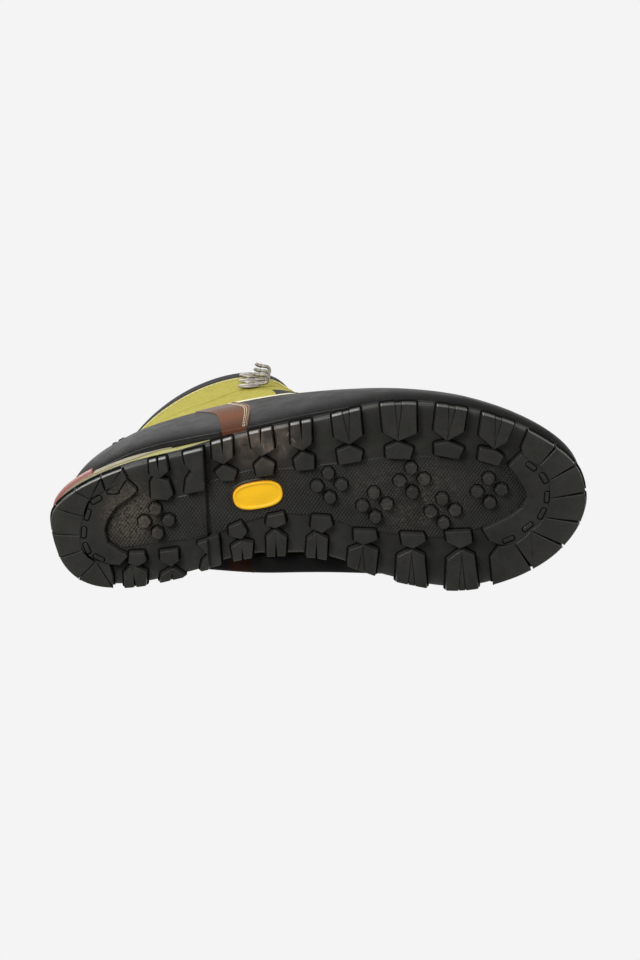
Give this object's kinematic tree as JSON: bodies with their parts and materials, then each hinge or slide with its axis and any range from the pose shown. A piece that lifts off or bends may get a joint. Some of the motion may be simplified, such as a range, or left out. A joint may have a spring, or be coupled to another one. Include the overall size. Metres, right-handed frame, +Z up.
{
  "type": "mountaineering boot",
  "caption": "Ankle-high mountaineering boot for the right foot, with a lugged rubber outsole, layered midsole, wrap-around rubber rand, suede upper, flexing cuff and hooks for lacing.",
  "frame": {"origin": "On the ground, under the centre of the bounding box of the boot.", "axes": "+X from heel to toe, -Y the outer (lateral) side of this right boot, +Z up."},
  "size_m": [0.3006, 0.1127, 0.1729],
  "materials": {
    "sole_rubber": "matte black rubber, scuffed and dusty",
    "inlay": "satin orange-yellow moulded rubber",
    "midsole_foam": "matte yellow-green foam",
    "midsole_black": "matte black foam",
    "heel_frame": "matte beige moulded plastic",
    "welt": "matte dark red moulded plastic",
    "shank": "brushed",
    "board": "matte fibre board",
    "footbed_fabric": "needle felt over foam",
    "rand_rubber": "semi-gloss black rubber",
    "patch": "printed synthetic, grey-mauve fading to orange-brown",
    "black_suede": "black microfibre suede",
    "suede": "yellow-green suede",
    "trim": "black reinforced textile with pale stitching",
    "collar_fabric": "coarse black stretch textile",
    "stiffener": "thermoformed sheet",
    "lining": "charcoal mesh lining",
    "tongue_fabric": "black padded textile",
    "hook_metal": "tumbled grey metal with a warm cast",
    "webbing": "black woven webbing"
  },
  "bodies": {
    "boot": {"outsole": "sole_rubber", "sole_inlay": "inlay", "midsole": "midsole_foam", "forefoot_midsole": "midsole_black", "heel_frame": "heel_frame", "heel_welt": "welt", "shank": "shank", "lasting_board": "board", "toe_rand": "rand_rubber", "heel_rand": "rand_rubber", "side_patch_lateral": "patch", "side_patch_medial": "patch", "vamp": "black_suede", "quarter_lateral": "suede", "quarter_medial": "suede", "facing_lateral": "black_suede", "facing_medial": "black_suede", "ankle_flex_panel": "suede", "heel_counter": "stiffener", "toe_puff": "stiffener", "lining_foot": "lining", "lace_loops": "trim"},
    "footbed": {"footbed": "footbed_fabric"},
    "cuff": {"cuff_lateral": "suede", "cuff_medial": "suede", "cuff_facing_lateral": "trim", "cuff_facing_medial": "trim", "backstay": "trim", "collar": "collar_fabric", "lining_cuff": "lining", "lace_hooks_lateral": "hook_metal", "lace_hooks_medial": "hook_metal", "hook_rivets": "hook_metal", "loop_anchor": "webbing"},
    "tongue": {"tongue": "tongue_fabric", "tongue_pad": "lining"},
    "pull_loop": {"pull_loop": "webbing"}
  },
  "joints": [
    {"name": "ankle_flex", "type": "hinge", "parent": "boot", "child": "cuff", "pos_m": [-0.062, 0, 0.102], "axis": [0, 1, 0], "range_deg": [-5, 8], "stiffness_Nm_per_rad": 6, "deforming": ["ankle_flex_panel"]},
    {"name": "tongue_fold", "type": "hinge", "parent": "boot", "child": "tongue", "pos_m": [0.0715, 0, 0.0795], "axis": [0, 1, 0], "range_deg": [0, 50], "stiffness_Nm_per_rad": 0.15},
    {"name": "footbed_lift", "type": "hinge", "parent": "boot", "child": "footbed", "pos_m": [0.136, 0, 0.027], "axis": [0, 1, 0], "range_deg": [0, 4]},
    {"name": "loop_swing", "type": "hinge", "parent": "cuff", "child": "pull_loop", "pos_m": [-0.1218, 0.0115, 0.137], "axis": [0, 1, 0], "range_deg": [0, 80]}
  ]
}
